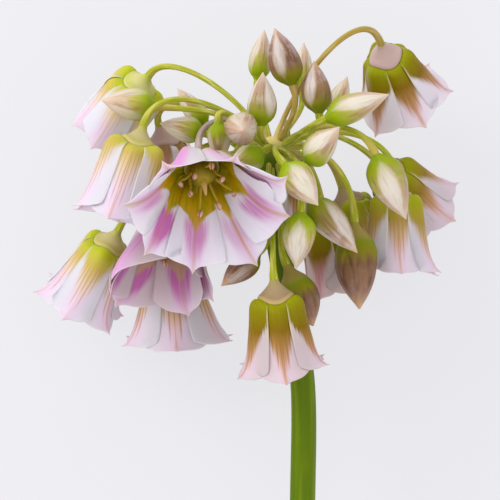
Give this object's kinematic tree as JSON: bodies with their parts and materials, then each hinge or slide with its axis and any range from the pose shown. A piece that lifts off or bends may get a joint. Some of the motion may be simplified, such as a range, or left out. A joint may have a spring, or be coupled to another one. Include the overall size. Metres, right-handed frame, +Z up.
{
  "type": "cut stem of sicilian honey garlic",
  "caption": "Cut flower stem lying down: a green scape with a loose head of nodding pink and white bells and pointed buds on thin arching stalks.",
  "frame": {"origin": "centre of the base of the bounding box, on the surface that the stem lies on", "axes": "+Y along the stem from its cut end towards the flower head, +Z up, +X to the right of the head as seen from above"},
  "size_m": [0.0892, 0.2236, 0.0701],
  "materials": {
    "stem_green": "smooth, slightly waxy green stalk, yellower on the thin flower stalks",
    "tepal_pink_white": "matt, thin petal tissue, white to lilac at the edge with green and pink bands along the middle",
    "heart_mauve_green": "matt, beige to mauve receptacle, green ovary, pale stamens",
    "bud_cream_brown": "matt, closed tepals, green at the base, mauve brown and cream towards the tip"
  },
  "bodies": {
    "root": {"bell_01_heart": "heart_mauve_green", "bell_01_tepals": "tepal_pink_white", "bell_02_heart": "heart_mauve_green", "bell_02_tepals": "tepal_pink_white", "bell_03_heart": "heart_mauve_green", "bell_03_tepals": "tepal_pink_white", "bell_04_heart": "heart_mauve_green", "bell_04_tepals": "tepal_pink_white", "bell_05_heart": "heart_mauve_green", "bell_05_tepals": "tepal_pink_white", "bell_06_heart": "heart_mauve_green", "bell_06_tepals": "tepal_pink_white", "bell_07_heart": "heart_mauve_green", "bell_07_tepals": "tepal_pink_white", "bell_08_heart": "heart_mauve_green", "bell_08_tepals": "tepal_pink_white", "bell_09_heart": "heart_mauve_green", "bell_09_tepals": "tepal_pink_white", "bell_10_heart": "heart_mauve_green", "bell_10_tepals": "tepal_pink_white", "bell_11_heart": "heart_mauve_green", "bell_11_tepals": "tepal_pink_white", "bell_12_heart": "heart_mauve_green", "bell_12_tepals": "tepal_pink_white", "bell_13_heart": "heart_mauve_green", "bell_13_tepals": "tepal_pink_white", "bell_14_heart": "heart_mauve_green", "bell_14_tepals": "tepal_pink_white", "bud_01": "bud_cream_brown", "bud_02": "bud_cream_brown", "bud_03": "bud_cream_brown", "bud_04": "bud_cream_brown", "bud_05": "bud_cream_brown", "bud_06": "bud_cream_brown", "bud_07": "bud_cream_brown", "bud_08": "bud_cream_brown", "bud_09": "bud_cream_brown", "bud_10": "bud_cream_brown", "bud_11": "bud_cream_brown", "bud_12": "bud_cream_brown", "bud_13": "bud_cream_brown", "bud_14": "bud_cream_brown", "bud_15": "bud_cream_brown", "bud_16": "bud_cream_brown", "bud_17": "bud_cream_brown", "bud_18": "bud_cream_brown", "bud_19": "bud_cream_brown", "bud_20": "bud_cream_brown", "bud_21": "bud_cream_brown", "bud_22": "bud_cream_brown", "bud_23": "bud_cream_brown", "bud_24": "bud_cream_brown", "scape": "stem_green"}
  },
  "joints": []
}
